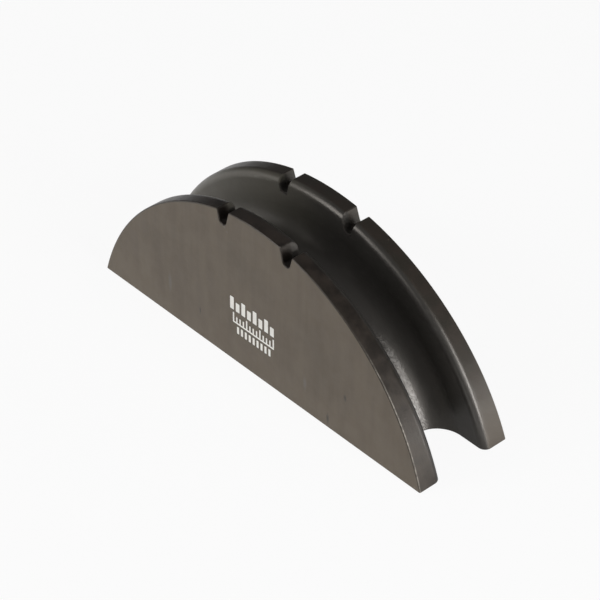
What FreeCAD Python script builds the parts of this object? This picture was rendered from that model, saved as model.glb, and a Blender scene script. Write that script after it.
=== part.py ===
"""Bending former of a pipe bender: a half-moon shoe, cast in one piece.

The tube lies in the round-bottomed groove along the rim and is bent around it. The ram of the
bender pushes on the flat base, where its nose sits in a blind socket. The side faces lean
inwards from the base, as a casting leaves its mould, and two notches cross both flanges.

Frame: origin at the middle of the base, +X along the shoe, +Y across it, +Z up to the crown.
Lengths are in millimetres and angles in degrees.
"""
import FreeCAD, Part
import Sketcher
import math
import os

NODE = "bending_former"

# Driving dimensions: name, value, what it measures
SIZES = (
    ("tube_diameter", 18.0, "outside diameter of the tube to be bent"),
    ("bend_radius", 70.0, "radius of the bend at the tube's centreline"),
    ("groove_clearance", 0.05, "gap from the tube to the groove wall"),
    ("rim_rise", 0.95, "rim above the outside of the seated tube"),
    ("flange_thickness", 9.15, "each flange at the base, beside the groove"),
    ("base_offset", 23.3, "base plane above the centre of the bend"),
    ("side_draft", 2.5, "lean of each side face"),
    ("lip_radius", 2.7, "rounding where the groove meets the rim"),
    ("rim_edge_radius", 0.5, "rounding of the rim's outer edges"),
    ("base_edge_radius", 0.4, "rounding of the edges around the base"),
    ("notch_pitch", 30.0, "distance between the two notches"),
    ("notch_depth", 6.7, "notch floor below the level of the crown"),
    ("notch_floor_radius", 1.7, "round floor of each notch"),
    ("notch_flare", 15.0, "lean of each notch wall"),
    ("notch_bevel", 0.25, "bevel where the notches break out"),
    ("nose_diameter", 16.0, "diameter of the ram's nose"),
    ("nose_clearance", 0.1, "gap from the nose to the socket wall"),
    ("socket_depth", 20.0, "depth of the socket for the nose"),
    ("socket_bevel", 1.0, "lead-in at the mouth of the socket"),
)

# Sizes that follow from the driving ones, as expressions on the spreadsheet
GROOVE_RADIUS = "(sizes.tube_diameter / 2 + sizes.groove_clearance)"
RIM_RADIUS = f"(sizes.bend_radius + {GROOVE_RADIUS} + sizes.rim_rise)"
TUBE_HEIGHT = "(sizes.bend_radius - sizes.base_offset)"
CROWN_HEIGHT = f"({RIM_RADIUS} - sizes.base_offset)"
HALF_BASE = f"({GROOVE_RADIUS} + sizes.flange_thickness)"
NOTCH_CENTRE_HEIGHT = f"({CROWN_HEIGHT} - sizes.notch_depth + sizes.notch_floor_radius)"
SOCKET_RADIUS = "(sizes.nose_diameter / 2 + sizes.nose_clearance)"

# Cutting profiles reach this high, which clears the crown
CUT_TOP = RIM_RADIUS

# A point counts as lying on a surface when it is this close to it
ON_SURFACE = 0.01

# How a sketch names places: points of an edge, its own axes and its origin
START, END, CENTRE = 1, 2, 3
ACROSS, UPRIGHT = -1, -2
ORIGIN = (ACROSS, START)

doc = FreeCAD.newDocument("pipe_bender_former")
sheet = doc.addObject("Spreadsheet::Sheet", "sizes")
for row, (alias, value, meaning) in enumerate(SIZES, start=1):
    sheet.set(f"A{row}", meaning)
    sheet.set(f"B{row}", str(value))
    sheet.setAlias(f"B{row}", alias)
doc.recompute()
body = doc.addObject("PartDesign::Body", NODE)
body.Label = NODE


def size(expression):
    """Present value of an expression on the spreadsheet."""
    return body.evalExpression(expression)


def origin_plane(role):
    return next(plane for plane in body.Origin.OriginFeatures if plane.Role == role)


def new_sketch(name, role):
    sketch = body.newObject("Sketcher::SketchObject", name)
    sketch.AttachmentSupport = [(origin_plane(role), "")]
    sketch.MapMode = "FlatFace"
    return sketch


def add_line(sketch, start, end, construction=False):
    line = Part.LineSegment(FreeCAD.Vector(*start, 0), FreeCAD.Vector(*end, 0))
    return sketch.addGeometry(line, construction)


def add_arc(sketch, centre, radius, start_angle, end_angle):
    """Counter-clockwise arc, its angles in radians from the sketch's first axis."""
    circle = Part.Circle(FreeCAD.Vector(*centre, 0), FreeCAD.Vector(0, 0, 1), radius)
    return sketch.addGeometry(Part.ArcOfCircle(circle, start_angle, end_angle), False)


def constrain(sketch, kind, *place):
    return sketch.addConstraint(Sketcher.Constraint(kind, *place))


def dimension(sketch, name, kind, place, expression):
    """Add a dimension to a sketch and tie it to the spreadsheet."""
    index = constrain(sketch, kind, *place, size(expression))
    sketch.renameConstraint(index, name)
    sketch.setExpression(f"Constraints.{name}", expression)


def drive(feature, property_name, expression):
    """Tie a length or an angle of a feature to the spreadsheet."""
    setattr(feature, property_name, size(expression))
    feature.setExpression(property_name, expression)


def mirror(feature, name, role):
    """Repeat a feature on the other side of one of the origin's planes."""
    pair = body.newObject("PartDesign::Mirrored", name)
    pair.Originals = [feature]
    pair.MirrorPlane = (origin_plane(role), [""])
    body.Tip = pair
    return pair


def edges_where(solid, test):
    """Names of the edges of a feature's solid whose ends and middle all pass the test."""
    names = []
    for number, edge in enumerate(solid.Shape.Edges, start=1):
        first, last = edge.ParameterRange
        places = [edge.valueAt(at) for at in (first, (first + last) / 2, last)]
        if all(test(place) for place in places):
            names.append(f"Edge{number}")
    return names


def add_rounding(solid, name, edges, expression):
    fillet = body.newObject("PartDesign::Fillet", name)
    fillet.Base = (solid, edges)
    drive(fillet, "Radius", expression)
    return fillet


def add_bevel(solid, name, edges, expression):
    chamfer = body.newObject("PartDesign::Chamfer", name)
    chamfer.Base = (solid, edges)
    drive(chamfer, "Size", expression)
    return chamfer


def draw_side_outline():
    """Side view of the blank: the rim's arc, closed by the chord of the base."""
    radius = size(RIM_RADIUS)
    offset = size("sizes.base_offset")
    half_chord = math.sqrt(radius ** 2 - offset ** 2)
    tip_angle = math.asin(offset / radius)
    sketch = new_sketch("side_outline", "XZ_Plane")
    rim = add_arc(sketch, (0, -offset), radius, tip_angle, math.pi - tip_angle)
    chord = add_line(sketch, (-half_chord, 0), (half_chord, 0))
    constrain(sketch, "Coincident", rim, START, chord, END)
    constrain(sketch, "Coincident", rim, END, chord, START)
    constrain(sketch, "PointOnObject", rim, CENTRE, UPRIGHT)
    constrain(sketch, "PointOnObject", chord, START, ACROSS)
    constrain(sketch, "PointOnObject", chord, END, ACROSS)
    dimension(sketch, "rim_radius", "Radius", (rim,), RIM_RADIUS)
    dimension(sketch, "base_offset", "DistanceY", (rim, CENTRE, *ORIGIN), "sizes.base_offset")
    return sketch


def add_blank():
    """Half-moon with square sides, as wide as the base."""
    blank = body.newObject("PartDesign::Pad", "blank")
    blank.Profile = draw_side_outline()
    blank.SideType = "Symmetric"
    drive(blank, "Length", f"2 * {HALF_BASE}")
    return blank


def draw_side_waste():
    """End view of what the draft takes off one side: a tall, thin wedge."""
    out = size(HALF_BASE)
    top = size(CUT_TOP)
    lean = f"{CUT_TOP} * tan(sizes.side_draft)"
    crest = out - size(lean)
    sketch = new_sketch("side_waste", "YZ_Plane")
    slope = add_line(sketch, (out, 0), (crest, top))
    lid = add_line(sketch, (crest, top), (out, top))
    wall = add_line(sketch, (out, top), (out, 0))
    constrain(sketch, "Coincident", slope, END, lid, START)
    constrain(sketch, "Coincident", lid, END, wall, START)
    constrain(sketch, "Coincident", wall, END, slope, START)
    constrain(sketch, "Horizontal", lid)
    constrain(sketch, "Vertical", wall)
    constrain(sketch, "PointOnObject", slope, START, ACROSS)
    dimension(sketch, "half_base", "DistanceX", (*ORIGIN, slope, START), HALF_BASE)
    dimension(sketch, "top", "DistanceY", (*ORIGIN, lid, START), CUT_TOP)
    dimension(sketch, "lean", "Distance", (lid,), lean)
    return sketch


def add_side_draft(solid):
    """Both side faces lean inwards from the base."""
    wedge = body.newObject("PartDesign::Pocket", "side_draft")
    wedge.Profile = draw_side_waste()
    wedge.SideType = "Symmetric"
    wedge.Type = "ThroughAll"
    return mirror(wedge, "side_draft_pair", "XZ_Plane")


def draw_groove_section():
    """Section of the tube groove at the crown: a half round floor with upright walls.

    The first construction line is the axis of the bend.
    """
    radius = size(GROOVE_RADIUS)
    height = size(TUBE_HEIGHT)
    offset = size("sizes.base_offset")
    top = size(CUT_TOP)
    sketch = new_sketch("groove_section", "YZ_Plane")
    floor = add_arc(sketch, (0, height), radius, math.pi, 2 * math.pi)
    right = add_line(sketch, (radius, height), (radius, top))
    lid = add_line(sketch, (radius, top), (-radius, top))
    left = add_line(sketch, (-radius, top), (-radius, height))
    axis = add_line(sketch, (0, -offset), (radius, -offset), construction=True)
    constrain(sketch, "Tangent", floor, END, right, START)
    constrain(sketch, "Coincident", right, END, lid, START)
    constrain(sketch, "Coincident", lid, END, left, START)
    constrain(sketch, "Tangent", left, END, floor, START)
    constrain(sketch, "Vertical", right)
    constrain(sketch, "Horizontal", lid)
    constrain(sketch, "Vertical", left)
    constrain(sketch, "PointOnObject", floor, CENTRE, UPRIGHT)
    constrain(sketch, "PointOnObject", axis, START, UPRIGHT)
    constrain(sketch, "Horizontal", axis)
    dimension(sketch, "groove_radius", "Radius", (floor,), GROOVE_RADIUS)
    dimension(sketch, "tube_height", "DistanceY", (*ORIGIN, floor, CENTRE), TUBE_HEIGHT)
    dimension(sketch, "top", "DistanceY", (*ORIGIN, right, END), CUT_TOP)
    dimension(sketch, "base_offset", "DistanceY", (axis, START, *ORIGIN), "sizes.base_offset")
    dimension(sketch, "axis_length", "Distance", (axis,), GROOVE_RADIUS)
    return sketch


def add_groove(solid):
    """The tube groove, turned about the centre of the bend."""
    section = draw_groove_section()
    groove = body.newObject("PartDesign::Groove", "tube_groove")
    groove.Profile = section
    groove.ReferenceAxis = (section, ["Axis0"])
    groove.Angle = 360
    return groove


def on_rim(place):
    radius = math.hypot(place.x, place.z + size("sizes.base_offset"))
    return abs(radius - size(RIM_RADIUS)) < ON_SURFACE


def on_side(place):
    half_width = size(HALF_BASE) - place.z * math.tan(math.radians(size("sizes.side_draft")))
    return abs(abs(place.y) - half_width) < ON_SURFACE


def on_groove_wall(place):
    return abs(abs(place.y) - size(GROOVE_RADIUS)) < ON_SURFACE


def on_base(place):
    return abs(place.z) < ON_SURFACE


def add_lips(solid):
    """Rounded lips that let the tube slip into the groove."""
    edges = edges_where(solid, lambda place: on_rim(place) and on_groove_wall(place))
    return add_rounding(solid, "groove_lips", edges, "sizes.lip_radius")


def add_rim_edges(solid):
    """Outer edges of the rim, where it meets the side faces."""
    edges = edges_where(solid, lambda place: on_rim(place) and on_side(place))
    return add_rounding(solid, "rim_edges", edges, "sizes.rim_edge_radius")


def add_base_edges(solid):
    """All the way round the base, with the tips and the groove's two ends."""
    edges = edges_where(solid, on_base)
    return add_rounding(solid, "base_edges", edges, "sizes.base_edge_radius")


def draw_notch_section():
    """Side view of one notch: walls that open upwards from a round floor."""
    middle = size("sizes.notch_pitch / 2")
    radius = size("sizes.notch_floor_radius")
    flare = math.radians(size("sizes.notch_flare"))
    height = size(NOTCH_CENTRE_HEIGHT)
    top = size(CUT_TOP)
    foot = radius * math.cos(flare)
    foot_height = height - radius * math.sin(flare)
    mouth = foot + (top - foot_height) * math.tan(flare)
    sketch = new_sketch("notch_section", "XZ_Plane")
    floor = add_arc(sketch, (middle, height), radius, math.pi + flare, 2 * math.pi - flare)
    right = add_line(sketch, (middle + foot, foot_height), (middle + mouth, top))
    lid = add_line(sketch, (middle + mouth, top), (middle - mouth, top))
    left = add_line(sketch, (middle - mouth, top), (middle - foot, foot_height))
    centre_line = add_line(sketch, (middle, 0), (middle, top), construction=True)
    constrain(sketch, "Tangent", floor, END, right, START)
    constrain(sketch, "Coincident", right, END, lid, START)
    constrain(sketch, "Coincident", lid, END, left, START)
    constrain(sketch, "Tangent", left, END, floor, START)
    constrain(sketch, "Horizontal", lid)
    constrain(sketch, "Symmetric", lid, START, lid, END, centre_line)
    constrain(sketch, "PointOnObject", centre_line, START, ACROSS)
    constrain(sketch, "PointOnObject", centre_line, END, lid)
    constrain(sketch, "PointOnObject", floor, CENTRE, centre_line)
    dimension(sketch, "floor_radius", "Radius", (floor,), "sizes.notch_floor_radius")
    dimension(sketch, "half_pitch", "DistanceX", (*ORIGIN, floor, CENTRE), "sizes.notch_pitch / 2")
    dimension(sketch, "height", "DistanceY", (*ORIGIN, floor, CENTRE), NOTCH_CENTRE_HEIGHT)
    dimension(sketch, "top", "DistanceY", (*ORIGIN, right, END), CUT_TOP)
    flare_index = constrain(sketch, "Angle", centre_line, START, right, START, -flare)
    sketch.renameConstraint(flare_index, "flare")
    sketch.setExpression("Constraints.flare", "-sizes.notch_flare")
    return sketch


def add_notches(solid):
    """Two notches across both flanges, one each side of the crown."""
    notch = body.newObject("PartDesign::Pocket", "notch")
    notch.Profile = draw_notch_section()
    notch.SideType = "Symmetric"
    notch.Type = "ThroughAll"
    return mirror(notch, "notch_pair", "YZ_Plane")


def notch_place(place):
    """A point in the side view of its own notch: distance from its middle, and height."""
    return abs(abs(place.x) - size("sizes.notch_pitch / 2")), place.z - size(NOTCH_CENTRE_HEIGHT)


def above_notch_floor(place):
    """Height of a point above the level where a notch's walls run into its floor."""
    return notch_place(place)[1] + size("sizes.notch_floor_radius * sin(sizes.notch_flare)")


def on_notch(place):
    """On a wall or on the round floor of either notch."""
    across, height = notch_place(place)
    flare = math.radians(size("sizes.notch_flare"))
    reach = math.hypot(across, height)
    if above_notch_floor(place) > 0:
        reach = across * math.cos(flare) - height * math.sin(flare)
    return abs(reach - size("sizes.notch_floor_radius")) < ON_SURFACE


def on_notch_seam(place):
    """Where a notch's wall runs smoothly into its round floor, which has no edge to bevel."""
    return on_notch(place) and abs(above_notch_floor(place)) < ON_SURFACE


def add_notch_bevels(solid):
    """A fine bevel where each notch breaks out of its flange."""
    seams = edges_where(solid, on_notch_seam)
    edges = [edge for edge in edges_where(solid, on_notch) if edge not in seams]
    return add_bevel(solid, "notch_bevels", edges, "sizes.notch_bevel")


def add_socket(solid):
    """Blind socket in the middle of the base for the nose of the ram."""
    sketch = new_sketch("socket_outline", "XY_Plane")
    circle = Part.Circle(FreeCAD.Vector(0, 0, 0), FreeCAD.Vector(0, 0, 1), size(SOCKET_RADIUS))
    wall = sketch.addGeometry(circle, False)
    constrain(sketch, "Coincident", wall, CENTRE, *ORIGIN)
    dimension(sketch, "socket_radius", "Radius", (wall,), SOCKET_RADIUS)
    socket = body.newObject("PartDesign::Pocket", "ram_socket")
    socket.Profile = sketch
    socket.Reversed = True
    drive(socket, "Length", "sizes.socket_depth")
    return socket


def add_socket_lead_in(solid):
    """Bevel at the mouth of the socket."""
    reach = size(SOCKET_RADIUS) + ON_SURFACE
    edges = edges_where(solid, lambda place: on_base(place) and math.hypot(place.x, place.y) < reach)
    return add_bevel(solid, "socket_lead_in", edges, "sizes.socket_bevel")


def settle(feature, solid_before):
    """Recompute, and make sure that the new feature really took metal off."""
    doc.recompute()
    if not feature.isValid():
        raise RuntimeError(f"{feature.Name} failed: {feature.getStatusString()}")
    if feature.Shape.Volume >= solid_before.Shape.Volume:
        raise RuntimeError(f"{feature.Name} took nothing off the former")
    return feature


def check_document():
    """Every object of the document is sound, and the former is one valid solid."""
    for item in doc.Objects:
        if "Invalid" in item.State or "Error" in item.State:
            raise RuntimeError(f"{item.Name} is not sound: {item.State}")
    if body.Shape.isNull() or not body.Shape.isValid():
        raise RuntimeError("the former has no valid shape")
    if len(body.Shape.Solids) != 1:
        raise RuntimeError("the former is not one solid")


solid = add_blank()
doc.recompute()
for add_feature in (
    add_side_draft,
    add_groove,
    add_lips,
    add_rim_edges,
    add_base_edges,
    add_notches,
    add_notch_bevels,
    add_socket,
    add_socket_lead_in,
):
    solid = settle(add_feature(solid), solid)

check_document()
os.makedirs("parts", exist_ok=True)
body.Shape.exportStep(f"parts/{NODE}.step")
print(f"{NODE}: {body.Shape.Volume / 1000:.1f} cm3, {len(body.Shape.Faces)} faces")
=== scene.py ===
"""Dresses the former of a pipe bender: dark satin finish, wear, printed scale, floor and soft lamps."""

import math

import bmesh
import bpy
from mathutils import Matrix, Vector


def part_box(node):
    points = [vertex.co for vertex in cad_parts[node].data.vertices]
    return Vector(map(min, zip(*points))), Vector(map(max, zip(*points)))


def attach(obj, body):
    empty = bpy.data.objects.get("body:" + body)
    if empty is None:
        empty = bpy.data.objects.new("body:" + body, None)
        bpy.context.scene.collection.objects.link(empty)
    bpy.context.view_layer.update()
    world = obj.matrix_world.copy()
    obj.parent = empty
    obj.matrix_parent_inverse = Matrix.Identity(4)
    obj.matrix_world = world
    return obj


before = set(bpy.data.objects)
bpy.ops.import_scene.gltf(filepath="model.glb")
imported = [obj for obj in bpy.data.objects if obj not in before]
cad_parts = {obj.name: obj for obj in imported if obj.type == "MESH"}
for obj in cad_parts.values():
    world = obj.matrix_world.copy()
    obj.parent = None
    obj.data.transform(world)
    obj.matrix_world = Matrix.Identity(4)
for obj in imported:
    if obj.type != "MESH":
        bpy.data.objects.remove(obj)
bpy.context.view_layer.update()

MM = 0.001

# The former, in the frame's own terms
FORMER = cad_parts["bending_former"]
BASE_CORNER, TOP_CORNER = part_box("bending_former")
MIDDLE = (BASE_CORNER + TOP_CORNER) / 2
RIM_RADIUS = 80 * MM
BEND_AXIS_HEIGHT = TOP_CORNER.z - RIM_RADIUS
GROOVE_RADIUS = 9.05 * MM
LIP_RADIUS = 2.7 * MM
SIDE_DRAFT = math.radians(2.5)
HALF_BASE = 18.2 * MM
NOTCH_PLACE = 15 * MM
NOTCH_DEPTH = 6.7 * MM
NOTCH_FLARE = math.radians(15)
NOTCH_FOOT_HALF_WIDTH = 1.35 * MM

# The camera, as the photograph was taken
CAMERA_PLACE = Vector((0.47146, -0.39667, 0.50274))
CAMERA_AIM = Vector((0.00209, 0.00005, 0.02151))
CAMERA_ROLL = math.radians(-1.79)
CAMERA_LENS = 148.33
CAMERA_SENSOR = 36.0


def new_group(name, inputs, outputs):
    """An empty shader group with its sockets: each is (name, kind, default value)."""
    group = bpy.data.node_groups.new(name, "ShaderNodeTree")
    for direction, sockets in (("INPUT", inputs), ("OUTPUT", outputs)):
        for socket_name, kind, *default in sockets:
            socket = group.interface.new_socket(
                name=socket_name, in_out=direction, socket_type="NodeSocket" + kind
            )
            if default:
                socket.default_value = default[0]
    return group, group.nodes.new("NodeGroupInput").outputs, group.nodes.new("NodeGroupOutput").inputs


def feed(tree, value, socket):
    """Gives a socket its value, or links it to the socket that feeds it."""
    if isinstance(value, bpy.types.NodeSocket):
        tree.links.new(value, socket)
    else:
        socket.default_value = value


def add_node(tree, kind, links=None, **settings):
    """Adds a node, sets its properties, and gives its inputs values or the sockets that feed them."""
    node = tree.nodes.new(kind)
    for name, value in settings.items():
        setattr(node, name, value)
    for key, value in (links or {}).items():
        feed(tree, value, node.inputs[key])
    return node


def maths(tree, operation, first, second=0.0, third=0.0, clamp=False):
    """The result of one Math node."""
    node = add_node(
        tree, "ShaderNodeMath", {0: first, 1: second, 2: third}, operation=operation, use_clamp=clamp
    )
    return node.outputs[0]


def both(tree, first, second):
    """The product of two masks or numbers."""
    return maths(tree, "MULTIPLY", first, second)


def vector_maths(tree, operation, first, second=(0, 0, 0), result="Vector"):
    """One result of a Vector Math node."""
    node = add_node(tree, "ShaderNodeVectorMath", {0: first, 1: second}, operation=operation)
    return node.outputs[result]


def ramp(tree, value, low, high):
    """0 where value is at low, 1 where it is at high, smooth in between."""
    node = add_node(
        tree,
        "ShaderNodeMapRange",
        {"Value": value, "From Min": low, "From Max": high},
        interpolation_type="SMOOTHSTEP",
    )
    return node.outputs["Result"]


def noise(tree, place, scale, detail=2.0, roughness=0.5):
    """A noise value about 0.5 over the object."""
    node = add_node(
        tree,
        "ShaderNodeTexNoise",
        {"Vector": place, "Scale": scale, "Detail": detail, "Roughness": roughness},
    )
    return node.outputs["Fac"]


def blend(tree, data_type, kind, amount, first, second):
    """The result of one Mix node, whose sockets are found by the kind of what it mixes."""
    node = add_node(tree, "ShaderNodeMix", data_type=data_type)
    inputs = {socket.identifier: socket for socket in node.inputs}
    feed(tree, amount, inputs["Factor_Float"])
    feed(tree, first, inputs["A_" + kind])
    feed(tree, second, inputs["B_" + kind])
    return next(socket for socket in node.outputs if socket.identifier == "Result_" + kind)


def blend_colours(tree, amount, first, second):
    """A colour between first and second."""
    return blend(tree, "RGBA", "Color", amount, first, second)


def blend_values(tree, amount, first, second):
    """A number between first and second."""
    return blend(tree, "FLOAT", "Float", amount, first, second)


def make_cast_grain():
    """Fine sand grain of a cast surface and the slow mottle of its finish."""
    group, given, result = new_group(
        "cast_grain",
        [("Place", "Vector"), ("Grain Size", "Float", 0.4 * MM), ("Mottle Size", "Float", 12 * MM)],
        [("Grain", "Float"), ("Mottle", "Float")],
    )
    per_grain = maths(group, "DIVIDE", 1.0, given["Grain Size"])
    per_mottle = maths(group, "DIVIDE", 1.0, given["Mottle Size"])
    group.links.new(noise(group, given["Place"], per_grain, 3.0, 0.6), result["Grain"])
    group.links.new(noise(group, given["Place"], per_mottle, 4.0, 0.55), result["Mottle"])
    return group


# How far the smoothed and the true facing part at an edge: the cosine of the turn between them
SHARP_TURN_STARTS = 0.995
SHARP_TURN_FULL = 0.80


def make_edge_wear():
    """A mask along the edges of a piece, broken up as handling wears them."""
    group, given, result = new_group(
        "edge_wear",
        [("Place", "Vector"), ("Width", "Float", 0.5 * MM), ("Patch Size", "Float", 3 * MM)],
        [("Wear", "Float")],
    )
    bevel = add_node(group, "ShaderNodeBevel", {"Radius": given["Width"]}, samples=6)
    face = add_node(group, "ShaderNodeNewGeometry")
    turn = vector_maths(group, "DOT_PRODUCT", bevel.outputs[0], face.outputs["True Normal"], "Value")
    edge = ramp(group, turn, SHARP_TURN_STARTS, SHARP_TURN_FULL)
    per_patch = maths(group, "DIVIDE", 1.0, given["Patch Size"])
    patches = ramp(group, noise(group, given["Place"], per_patch, 3.0, 0.6), 0.38, 0.62)
    group.links.new(both(group, edge, patches), result["Wear"])
    return group


# The share of a spot's reach that has its full strength, and how often its outline wavers
SPOT_CORE = 0.15
SPOT_WAVERS = 1.6


def make_spot():
    """A soft spot on the surface, round or long, with an uneven outline."""
    group, given, result = new_group(
        "spot",
        [
            ("Place", "Vector"),
            ("Centre", "Vector"),
            ("Half Sizes", "Vector"),
            ("Unevenness", "Float", 0.3),
        ],
        [("Mask", "Float")],
    )
    offset = vector_maths(group, "SUBTRACT", given["Place"], given["Centre"])
    share = vector_maths(group, "DIVIDE", offset, given["Half Sizes"])
    reach = vector_maths(group, "LENGTH", share, result="Value")
    ragged = maths(group, "SUBTRACT", noise(group, share, SPOT_WAVERS, 3.0), 0.5)
    ragged_reach = maths(group, "MULTIPLY_ADD", ragged, given["Unevenness"], reach)
    group.links.new(ramp(group, ragged_reach, 1.0, SPOT_CORE), result["Mask"])
    return group


# How far a point faces sideways: where it counts as side face, and where as rounded edge of the rim
SIDE_FACING = (0.93, 0.98)
EDGE_FACING_STARTS = (0.10, 0.30)
EDGE_FACING_ENDS = (0.85, 0.60)

AREA_NAMES = (
    "Groove",
    "Side",
    "Rubbed",
    "Pitted",
    "Tip",
    "Far",
    "Foot",
    "Notch Floor",
    "Rim Edge",
    "Right End",
    "Left Half",
)


def make_former_areas():
    """Masks for the parts of the former that look apart, from the place and the facing of each point."""
    group, given, result = new_group(
        "former_areas",
        [
            ("Place", "Vector"),
            ("Facing", "Vector"),
            ("Bend Axis Height", "Float", BEND_AXIS_HEIGHT),
            ("Rim Radius", "Float", RIM_RADIUS),
            ("Groove Half Width", "Float", GROOVE_RADIUS),
            ("Lip Radius", "Float", LIP_RADIUS),
            ("Notch Place", "Float", NOTCH_PLACE),
            ("Notch Floor Height", "Float", TOP_CORNER.z - NOTCH_DEPTH),
            ("Notch Slope", "Float", math.tan(NOTCH_FLARE)),
            ("Notch Half Width", "Float", NOTCH_FOOT_HALF_WIDTH),
            ("Rubbed Half Width", "Float", 3.7 * MM),
            ("Rubbed Lip Start", "Float", 46 * MM),
            ("Rubbed Lip Share", "Float", 0.7),
            ("Tip Height", "Float", 12 * MM),
        ],
        [(name, "Float") for name in AREA_NAMES],
    )
    across, over, up = add_node(group, "ShaderNodeSeparateXYZ", {0: given["Place"]}).outputs
    facing = add_node(group, "ShaderNodeSeparateXYZ", {0: given["Facing"]})
    height = maths(group, "SUBTRACT", up, given["Bend Axis Height"])
    squares = maths(group, "MULTIPLY_ADD", height, height, maths(group, "POWER", across, 2.0))
    depth = maths(group, "SUBTRACT", given["Rim Radius"], maths(group, "SQRT", squares))
    off_middle = maths(group, "ABSOLUTE", over)
    off_crown = maths(group, "ABSOLUTE", across)
    past_wall = maths(group, "SUBTRACT", off_middle, given["Groove Half Width"])
    past_lip = maths(group, "SUBTRACT", past_wall, given["Lip Radius"])
    off_rim = ramp(group, past_lip, 0.2 * MM, 0.8 * MM)
    sideways = maths(group, "ABSOLUTE", facing.outputs["Y"])
    in_groove = ramp(group, past_lip, 0.4 * MM, -0.4 * MM)
    groove = both(group, ramp(group, depth, 0.02 * MM, 0.3 * MM), in_groove)
    side = both(group, ramp(group, sideways, *SIDE_FACING), off_rim)
    edge = both(group, ramp(group, sideways, *EDGE_FACING_STARTS), ramp(group, sideways, *EDGE_FACING_ENDS))
    past_floor = maths(group, "SUBTRACT", off_middle, given["Rubbed Half Width"])
    floor = both(group, ramp(group, past_floor, 1.6 * MM, -1.6 * MM), ramp(group, depth, 8 * MM, 12 * MM))
    along = maths(group, "SUBTRACT", off_crown, given["Rubbed Lip Start"])
    lip = both(group, ramp(group, past_wall, -0.5 * MM, 0.5 * MM), ramp(group, depth, 4 * MM, 2 * MM))
    lip = both(group, lip, ramp(group, past_lip, 0.3 * MM, 0.0))
    lip = both(group, lip, ramp(group, along, -10 * MM, 10 * MM))
    lip = both(group, lip, given["Rubbed Lip Share"])
    over_tip = maths(group, "SUBTRACT", up, given["Tip Height"])
    from_notch = maths(group, "ABSOLUTE", maths(group, "SUBTRACT", off_crown, given["Notch Place"]))
    from_floor = maths(group, "SUBTRACT", up, given["Notch Floor Height"])
    widening = maths(group, "MULTIPLY", from_floor, given["Notch Slope"])
    past_foot = maths(group, "SUBTRACT", from_notch, widening)
    past_notch = maths(group, "SUBTRACT", past_foot, given["Notch Half Width"])
    notch = both(group, ramp(group, from_floor, 3.0 * MM, 2.0 * MM), ramp(group, past_notch, 0.6 * MM, 0.0))
    notch = both(group, notch, ramp(group, from_floor, -0.5 * MM, -0.1 * MM))
    notch = both(group, notch, in_groove)
    masks = {
        "Groove": groove,
        "Side": side,
        "Rubbed": maths(group, "MAXIMUM", floor, lip),
        "Pitted": both(group, floor, ramp(group, off_crown, 24 * MM, 40 * MM)),
        "Tip": ramp(group, over_tip, 8 * MM, -10 * MM),
        "Far": ramp(group, over, -5 * MM, 5 * MM),
        "Foot": ramp(group, up, 14 * MM, 2 * MM),
        "Notch Floor": notch,
        "Rim Edge": both(group, edge, off_rim),
        "Right End": ramp(group, across, 46 * MM, 62 * MM),
        "Left Half": ramp(group, across, 12 * MM, -28 * MM),
    }
    for name, mask in masks.items():
        group.links.new(mask, result[name])
    return group


CAST_GRAIN = make_cast_grain()
EDGE_WEAR = make_edge_wear()
SPOT = make_spot()
FORMER_AREAS = make_former_areas()


def use_group(tree, group, **values):
    """Places a group in a material: each keyword is an input's name with underscores for spaces."""
    node = add_node(tree, "ShaderNodeGroup", node_tree=group)
    for key, value in values.items():
        feed(tree, value, node.inputs[key.replace("_", " ").title()])
    return node.outputs


def new_material(name):
    """An empty material: its tree, its shader, and the place and facing of each point on the object."""
    material = bpy.data.materials.new(name)
    material.use_nodes = True
    tree = material.node_tree
    tree.nodes.clear()
    shader = tree.nodes.new("ShaderNodeBsdfPrincipled")
    output = tree.nodes.new("ShaderNodeOutputMaterial")
    tree.links.new(shader.outputs[0], output.inputs["Surface"])
    point = tree.nodes.new("ShaderNodeTexCoord").outputs
    return material, tree, shader, point["Object"], point["Normal"]


SIDE_COLOUR = (0.071, 0.0525, 0.0335, 1)
SIDE_LIGHT_COLOUR = (0.095, 0.073, 0.0485, 1)
RIM_COLOUR = (0.009, 0.0065, 0.005, 1)
RIM_LIGHT_COLOUR = (0.024, 0.018, 0.014, 1)
# Painted light: the far flange's rim is made lighter than the near flange's
FAR_RIM_PAINTED_LIGHT_COLOUR = (0.021, 0.018, 0.014, 1)
# Painted light: the rim is made lighter at the low ends of the arc
TIP_PAINTED_LIGHT_COLOUR = (0.085, 0.072, 0.058, 1)
GROOVE_COLOUR = (0.031, 0.029, 0.0265, 1)
# The groove is lighter and duller in its left half
LEFT_GROOVE_COLOUR = (0.063, 0.058, 0.045, 1)
WORN_COLOUR = (0.11, 0.105, 0.10, 1)
BARE_COLOUR = (0.42, 0.39, 0.34, 1)
# Painted shade: the dark colour of the recessed notch floors
NOTCH_PAINTED_SHADE_COLOUR = (0.006, 0.005, 0.004, 1)
STAIN_COLOUR = (0.012, 0.010, 0.008, 1)
DULL_COLOUR = (0.050, 0.038, 0.024, 1)
GLOSS_LEVEL = 0.66
GLOSS_TINT = (1.0, 0.93, 0.85, 1)
SIDE_ROUGHNESS = 0.48
RIM_ROUGHNESS = 0.40
GROOVE_ROUGHNESS = 0.345
LEFT_GROOVE_ROUGHNESS = 0.44
RUBBED_SHINE = 0.55
RUBBED_ROUGHNESS = 0.22

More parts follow.
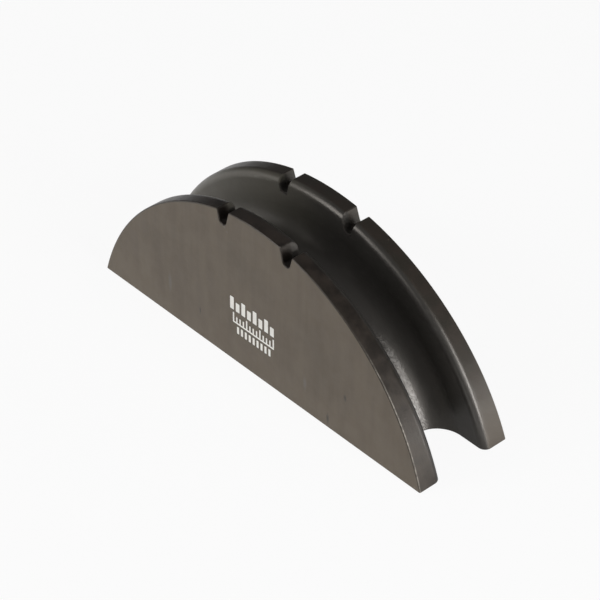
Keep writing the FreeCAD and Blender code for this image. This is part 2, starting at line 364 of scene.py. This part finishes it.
# Marks of use on the near side: across and up the face, then half their width and height, all in mm
RUBBED_STREAKS = ((-42.0, 13.1, 1.3, 5.0), (24.2, 10.8, 1.2, 4.0))
STAINS = ((42.6, 16.2, 0.9, 1.7), (34.9, 3.4, 0.9, 2.8), (-26.7, 10.4, 0.5, 1.8))
CHIPS = ((-18.1, 50.6, 0.5, 0.5), (-12.4, 53.4, 0.6, 0.4), (-14.0, 49.5, 0.5, 0.6), (-12.8, 48.4, 0.4, 0.7))
DULL_PATCHES = ((-50.0, 27.0, 12.0, 8.0), (-5.0, 38.0, 15.0, 9.0), (31.0, 24.0, 15.0, 14.0))
DULL_STRENGTH = 0.22
STREAK_STRENGTH = 0.5
STAIN_STRENGTH = 0.8
CHIP_STRENGTH = 0.5
EDGE_WEAR_STRENGTH = 0.2
GRAIN_SIZE = 0.55 * MM
GRAIN_HEIGHT = 0.05 * MM
GRAIN_STRENGTH = 0.6
MOTTLE_SIZE = 14 * MM
BLOTCH_SIZE = 5 * MM
BLOTCH_SHINE = 0.85
BRUSHING_WIDTH = 4 * MM
BRUSHING_SQUEEZE = 0.12
BRUSHING_SHARE = 0.6
ROUGHNESS_SPREAD = 0.06
SIDE_GRAIN_SHARE = 0.35
GROOVE_GRAIN_SHARE = 0.8
FLECK_SIZE = 1.3 * MM
FLECK_SHARE = 1.4
FLECK_SHINE = (0.6, 1.15)
WAVE_SIZE = 4 * MM
WAVE_SHARE = 2.0
# Painted light: how much lighter the sides are made towards the base
FOOT_PAINTED_LIGHT_SHARE = 0.45
# Painted light: how much of the lighter tip colour the near flange gets
NEAR_TIP_PAINTED_LIGHT_SHARE = 0.15
NOTCH_ROUGHNESS = 0.8
LEAST_BARE = 0.3
LEFT_BARE_SHARE = 0.04
RIGHT_BARE_SHARE = 0.45
FAR_BARE_SHARE = 0.3


def on_near_side(across, up, proud=0.0):
    """A point on the drafted near side: across the face, up it from the base, and proud of it."""
    y = -HALF_BASE + up * math.sin(SIDE_DRAFT) - proud * math.cos(SIDE_DRAFT)
    return Vector((across, y, up * math.cos(SIDE_DRAFT) + proud * math.sin(SIDE_DRAFT)))


def spots_mask(tree, place, spots, unevenness):
    """One mask for several spots on the near side."""
    total = 0.0
    for across, up, half_width, half_height in spots:
        spot = use_group(
            tree,
            SPOT,
            place=place,
            centre=on_near_side(across * MM, up * MM),
            half_sizes=(half_width * MM, 1 * MM, half_height * MM),
            unevenness=unevenness,
        )
        total = maths(tree, "MAXIMUM", spot["Mask"], total)
    return total


def make_black_casting():
    """The former's dark satin finish: grain, mottle, a groove rubbed by tubes, a groove lighter and duller
    in its left half, and wear; painted light on the far rim, the rim's low ends and the foot of the sides,
    and painted shade on the notch floors.
    """
    material, tree, shader, place, facing = new_material("black_satin_casting")
    grain = use_group(tree, CAST_GRAIN, place=place, grain_size=GRAIN_SIZE, mottle_size=MOTTLE_SIZE)
    areas = use_group(tree, FORMER_AREAS, place=place, facing=facing)
    wear = use_group(tree, EDGE_WEAR, place=place, width=0.35 * MM, patch_size=4 * MM)
    streaks = spots_mask(tree, place, RUBBED_STREAKS, 0.6)
    stains = spots_mask(tree, place, STAINS, 0.9)
    chips = spots_mask(tree, place, CHIPS, 0.9)
    dull = spots_mask(tree, place, DULL_PATCHES, 1.6)
    mottle = ramp(tree, grain["Mottle"], 0.3, 0.7)
    blotches = ramp(tree, noise(tree, place, 1 / BLOTCH_SIZE, 4.0, 0.6), 0.35, 0.65)
    flecks = ramp(tree, noise(tree, place, 1 / FLECK_SIZE, 3.0, 0.6), 0.36, 0.64)
    waves = noise(tree, place, 1 / WAVE_SIZE, 1.0)
    drawn_out = vector_maths(tree, "MULTIPLY", place, (1, 1, BRUSHING_SQUEEZE))
    brushing = ramp(tree, noise(tree, drawn_out, 1 / BRUSHING_WIDTH, 3.0, 0.55), 0.3, 0.7)
    tone_and_painted_light_share = blend_values(tree, BRUSHING_SHARE, mottle, brushing)
    # Painted light: the sides are made lighter towards the base, on top of their random tone
    tone_and_painted_light_share = maths(tree, "MULTIPLY_ADD", areas["Foot"], FOOT_PAINTED_LIGHT_SHARE, tone_and_painted_light_share)
    not_groove = maths(tree, "SUBTRACT", 1.0, areas["Groove"])
    rubbed = both(tree, both(tree, wear["Wear"], not_groove), EDGE_WEAR_STRENGTH)
    rubbed = maths(tree, "MULTIPLY_ADD", streaks, STREAK_STRENGTH, rubbed)
    rubbed = maths(tree, "MULTIPLY_ADD", chips, CHIP_STRENGTH, rubbed, clamp=True)
    handled = blend_values(tree, areas["Right End"], LEFT_BARE_SHARE, RIGHT_BARE_SHARE)
    handled = both(tree, handled, blend_values(tree, areas["Far"], 1.0, FAR_BARE_SHARE))
    bare = both(tree, areas["Rim Edge"], blend_values(tree, flecks, LEAST_BARE, 1.0))
    bare = both(tree, bare, handled)
    side_colour = blend_colours(tree, tone_and_painted_light_share, SIDE_COLOUR, SIDE_LIGHT_COLOUR)
    side_colour = blend_colours(tree, both(tree, dull, DULL_STRENGTH), side_colour, DULL_COLOUR)
    # Painted light: the far rim is lighter than the near rim
    rim_colour = blend_colours(tree, areas["Far"], RIM_COLOUR, FAR_RIM_PAINTED_LIGHT_COLOUR)
    rim_colour = blend_colours(tree, blotches, rim_colour, RIM_LIGHT_COLOUR)
    # Painted light: the rim is lighter at its low ends, fully on the far flange and a little on the near
    # one
    tip_painted_light_share = both(tree, areas["Tip"], blend_values(tree, areas["Far"], NEAR_TIP_PAINTED_LIGHT_SHARE, 1.0))
    rim_colour = blend_colours(tree, tip_painted_light_share, rim_colour, TIP_PAINTED_LIGHT_COLOUR)
    # The groove is lighter in its left half
    groove_colour = blend_colours(tree, areas["Left Half"], GROOVE_COLOUR, LEFT_GROOVE_COLOUR)
    colour = blend_colours(tree, areas["Groove"], rim_colour, groove_colour)
    colour = blend_colours(tree, areas["Side"], colour, side_colour)
    colour = blend_colours(tree, both(tree, stains, STAIN_STRENGTH), colour, STAIN_COLOUR)
    colour = blend_colours(tree, rubbed, colour, WORN_COLOUR)
    # Painted shade: the notch floors are darkened
    colour = blend_colours(tree, areas["Notch Floor"], colour, NOTCH_PAINTED_SHADE_COLOUR)
    colour = blend_colours(tree, bare, colour, BARE_COLOUR)
    roughness = blend_values(tree, areas["Left Half"], GROOVE_ROUGHNESS, LEFT_GROOVE_ROUGHNESS)
    roughness = blend_values(tree, areas["Groove"], RIM_ROUGHNESS, roughness)
    roughness = blend_values(tree, areas["Side"], roughness, SIDE_ROUGHNESS)
    uneven = maths(tree, "SUBTRACT", blotches, 0.5)
    roughness = maths(tree, "MULTIPLY_ADD", uneven, ROUGHNESS_SPREAD, roughness)
    roughness = blend_values(tree, areas["Notch Floor"], roughness, NOTCH_ROUGHNESS)
    shine = both(tree, areas["Rubbed"], blend_values(tree, blotches, BLOTCH_SHINE, 1.0))
    flecked = blend_values(tree, areas["Pitted"], 0.5, flecks)
    shine = both(tree, shine, blend_values(tree, flecked, *FLECK_SHINE))
    relief = blend_values(tree, areas["Groove"], 1.0, GROOVE_GRAIN_SHARE)
    relief = blend_values(tree, areas["Side"], relief, SIDE_GRAIN_SHARE)
    relief = both(tree, grain["Grain"], relief)
    relief = maths(tree, "MULTIPLY_ADD", waves, WAVE_SHARE, relief)
    pitted = both(tree, flecks, areas["Pitted"])
    relief = maths(tree, "MULTIPLY_ADD", pitted, FLECK_SHARE, relief)
    bump = add_node(
        tree, "ShaderNodeBump", {"Strength": GRAIN_STRENGTH, "Distance": GRAIN_HEIGHT, "Height": relief}
    )
    shader.inputs["Specular IOR Level"].default_value = GLOSS_LEVEL
    shader.inputs["Specular Tint"].default_value = GLOSS_TINT
    shader.inputs["Coat Roughness"].default_value = RUBBED_ROUGHNESS
    tree.links.new(colour, shader.inputs["Base Color"])
    tree.links.new(bare, shader.inputs["Metallic"])
    tree.links.new(roughness, shader.inputs["Roughness"])
    tree.links.new(both(tree, shine, RUBBED_SHINE), shader.inputs["Coat Weight"])
    tree.links.new(bump.outputs["Normal"], shader.inputs["Normal"])
    tree.links.new(bump.outputs["Normal"], shader.inputs["Coat Normal"])
    return material


INK_COLOUR = (0.90, 0.885, 0.835, 1)
INK_THIN_COLOUR = (0.68, 0.665, 0.62, 1)


def make_white_print():
    """Matt white ink on the casting: a little thin where the grain stands up."""
    material, tree, shader, place, _ = new_material("white_print")
    grain = use_group(tree, CAST_GRAIN, place=place, grain_size=0.3 * MM, mottle_size=3 * MM)
    thin = both(tree, ramp(tree, grain["Grain"], 0.50, 0.72), ramp(tree, grain["Mottle"], 0.4, 0.65))
    bump = add_node(
        tree, "ShaderNodeBump", {"Strength": 0.2, "Distance": 0.03 * MM, "Height": grain["Grain"]}
    )
    tree.links.new(blend_colours(tree, thin, INK_COLOUR, INK_THIN_COLOUR), shader.inputs["Base Color"])
    tree.links.new(maths(tree, "MULTIPLY_ADD", thin, -0.1, 0.62), shader.inputs["Roughness"])
    tree.links.new(bump.outputs["Normal"], shader.inputs["Normal"])
    return material


# The printed scale, in mm: left end, foot, pitch, count, stroke, tall, low, one tall stroke in so many
SCALE_ROWS = {
    "bold": (-11.6, 20.1, 2.75, 8, 1.8, 4.8, 3.4, 2),
    "fine": (-10.3, 15.9, 1.6, 13, 0.65, 3.3, 2.1, 4),
    "even": (-8.3, 11.7, 1.9, 9, 1.0, 2.7, 2.7, 1),
}
SCALE_LINE = (-10.3, 15.3, 19.85, 0.6)
INK_THICKNESS = 0.02 * MM
INK_DEPTH = 0.01 * MM
STROKE_CORNER = 0.2 * MM
CORNER_STEPS = 4


def add_stroke(mesh, left, foot, width, height):
    """A thin closed plate of ink with rounded corners, lying on the near side."""
    corner = min(STROKE_CORNER, width / 2.2)
    outline = []
    for quarter, (x, z) in enumerate(
        (
            (left + width - corner, foot + height - corner),
            (left + corner, foot + height - corner),
            (left + corner, foot + corner),
            (left + width - corner, foot + corner),
        )
    ):
        for step in range(CORNER_STEPS + 1):
            angle = math.radians(90) * (quarter + step / CORNER_STEPS)
            outline.append((x + corner * math.cos(angle), z + corner * math.sin(angle)))
    outer = [mesh.verts.new(on_near_side(x, z, INK_THICKNESS)) for x, z in outline]
    inner = [mesh.verts.new(on_near_side(x, z, -INK_DEPTH)) for x, z in outline]
    mesh.faces.new(outer)
    mesh.faces.new(inner[::-1])
    for here in range(len(outline)):
        mesh.faces.new((outer[here - 1], inner[here - 1], inner[here], outer[here]))


def add_printed_scale():
    """The white scale printed on the near side: a bold row, a fine ruled row and an even row."""
    mesh = bmesh.new()
    for left, foot, pitch, count, stroke, tall, low, every in SCALE_ROWS.values():
        for number in range(count):
            height = tall if number % every == 0 else low
            add_stroke(mesh, (left + pitch * number) * MM, foot * MM, stroke * MM, height * MM)
    add_stroke(mesh, *(size * MM for size in SCALE_LINE))
    bmesh.ops.recalc_face_normals(mesh, faces=mesh.faces)
    data = bpy.data.meshes.new("printed_scale")
    mesh.to_mesh(data)
    mesh.free()
    data.materials.append(make_white_print())
    scale = bpy.data.objects.new("printed_scale", data)
    bpy.context.scene.collection.objects.link(scale)
    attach(scale, "root")
    return scale


# How much of the floor's look is plain white, and where its white runs out in reflections
WHITE_SHARE = 0.92
WHITE_FADES = 0.30
WHITE_ENDS = 0.75

# The patch under and behind the former that is shaded in reflections: its soft border is a share of it
SHADE_CENTRE = (0.022, 0.023, 0.0)
SHADE_HALF_SIZES = (0.056, 0.030, 1.0)
SHADE_BORDER = 0.35
SHADE_LEVEL = 0.36


def make_floor_material():
    """White floor: plain white to the eye, and near the former in reflections; it keeps the shadow."""
    material, tree, shader, place, _ = new_material("white_floor")
    shader.inputs["Base Color"].default_value = (0.9, 0.9, 0.9, 1)
    shader.inputs["Roughness"].default_value = 0.9
    shader.inputs["Specular IOR Level"].default_value = 0.0
    path = tree.nodes.new("ShaderNodeLightPath")
    through = maths(tree, "MAXIMUM", path.outputs["Is Camera Ray"], path.outputs["Is Transmission Ray"])
    out = vector_maths(tree, "LENGTH", place, result="Value")
    off_centre = vector_maths(tree, "SUBTRACT", place, SHADE_CENTRE)
    shares = vector_maths(tree, "ABSOLUTE", vector_maths(tree, "DIVIDE", off_centre, SHADE_HALF_SIZES))
    split = add_node(tree, "ShaderNodeSeparateXYZ", {0: shares})
    reach = maths(tree, "MAXIMUM", split.outputs["X"], split.outputs["Y"])
    open_floor = blend_values(tree, ramp(tree, reach, 1.0, 1.0 + SHADE_BORDER), SHADE_LEVEL, 1.0)
    seen = maths(tree, "MAXIMUM", through, path.outputs["Is Glossy Ray"])
    mirrored = both(tree, path.outputs["Is Glossy Ray"], ramp(tree, out, WHITE_ENDS, WHITE_FADES))
    mirrored = both(tree, mirrored, open_floor)
    strength = maths(tree, "MAXIMUM", through, mirrored)
    white = add_node(tree, "ShaderNodeEmission", {"Color": (1, 1, 1, 1), "Strength": strength})
    share = both(tree, seen, WHITE_SHARE)
    mix = add_node(tree, "ShaderNodeMixShader", {0: share, 1: shader.outputs[0], 2: white.outputs[0]})
    tree.links.new(mix.outputs[0], tree.nodes["Material Output"].inputs["Surface"])
    return material


FLOOR_RADIUS = 1.5
COVE_RADIUS = 0.25
COVE_TOP = 0.40
COVE_STEPS = 12
ROUND_STEPS = 96


def add_floor():
    """A round floor that curves up into a low white wall."""
    profile = [(0.0, 0.0), (FLOOR_RADIUS - COVE_RADIUS, 0.0)]
    for step in range(1, COVE_STEPS + 1):
        angle = math.radians(90) * step / COVE_STEPS
        out = FLOOR_RADIUS - COVE_RADIUS + COVE_RADIUS * math.sin(angle)
        profile.append((out, COVE_RADIUS * (1 - math.cos(angle))))
    profile.append((FLOOR_RADIUS, COVE_TOP))
    mesh = bmesh.new()
    line = [mesh.verts.new((out, 0, height)) for out, height in profile]
    edges = [mesh.edges.new(pair) for pair in zip(line, line[1:])]
    bmesh.ops.spin(
        mesh, geom=line + edges, cent=(0, 0, 0), axis=(0, 0, 1), angle=math.tau, steps=ROUND_STEPS
    )
    bmesh.ops.remove_doubles(mesh, verts=mesh.verts, dist=0.01 * MM)
    bmesh.ops.recalc_face_normals(mesh, faces=mesh.faces)
    data = bpy.data.meshes.new("floor")
    mesh.to_mesh(data)
    mesh.free()
    floor = bpy.data.objects.new("floor", data)
    floor.location.z = BASE_CORNER.z
    data.materials.append(make_floor_material())
    for face in data.polygons:
        face.use_smooth = True
    bpy.context.scene.collection.objects.link(floor)
    return floor


def towards(azimuth, elevation):
    """The direction from the object to a place round it; azimuth 0 is in front, on the -Y side."""
    a, e = math.radians(azimuth), math.radians(elevation)
    return Vector((math.sin(a) * math.cos(e), -math.cos(a) * math.cos(e), math.sin(e)))


def add_lamp(name, azimuth, elevation, distance, width, height, brightness):
    """A soft box that faces the former; brightness is the radiance of its face."""
    lamp = bpy.data.lights.new(name, "AREA")
    lamp.shape = "RECTANGLE"
    lamp.size = width
    lamp.size_y = height
    lamp.energy = brightness * math.pi * width * height
    holder = bpy.data.objects.new(name, lamp)
    direction = towards(azimuth, elevation)
    holder.location = MIDDLE + direction * distance
    holder.rotation_euler = (-direction).to_track_quat("-Z", "Y").to_euler()
    holder.visible_camera = False
    bpy.context.scene.collection.objects.link(holder)
    return holder


WORLD_COLOUR = (0.125, 0.125, 0.127, 1)


# Name, azimuth and elevation in degrees, width and height in metres, and brightness
LAMPS = (
    ("right_soft_box", 90, 12, 0.34, 0.46, 10.8),
    ("right_upper_box", 90, 35, 0.34, 0.28, 5.6),
    ("left_soft_box", -30, 22, 0.36, 0.60, 5.7),
    ("left_low_box", -64, 4, 0.56, 0.20, 2.0),
    ("front_fill", 0, 36, 0.34, 0.26, 2.3),
    ("quarter_fill", 60, 18, 0.34, 0.26, 1.4),
    ("end_fill", 122, 5, 0.34, 0.22, 5.0),
)
LAMP_DISTANCE = 1.0


def add_lights():
    """Soft boxes low round the former, the brightest at its right end, and a dim room."""
    for name, azimuth, elevation, width, height, brightness in LAMPS:
        add_lamp(name, azimuth, elevation, LAMP_DISTANCE, width, height, brightness)
    world = bpy.data.worlds.new("room")
    world.use_nodes = True
    world.node_tree.nodes["Background"].inputs["Color"].default_value = WORLD_COLOUR
    bpy.context.scene.world = world


def add_camera():
    """The camera at the photograph's place, lens and roll."""
    data = bpy.data.cameras.new("camera")
    data.lens = CAMERA_LENS
    data.sensor_width = CAMERA_SENSOR
    data.clip_start = 0.01
    data.clip_end = 100
    camera = bpy.data.objects.new("camera", data)
    look = (CAMERA_AIM - CAMERA_PLACE).to_track_quat("-Z", "Y").to_matrix()
    roll = Matrix.Rotation(CAMERA_ROLL, 3, "Z")
    camera.matrix_world = Matrix.Translation(CAMERA_PLACE) @ (look @ roll).to_4x4()
    bpy.context.scene.collection.objects.link(camera)
    bpy.context.scene.camera = camera


FORMER.material_slots[0].material = make_black_casting()
add_printed_scale()
add_floor()
add_lights()
add_camera()
bpy.context.scene.view_settings.view_transform = "Standard"
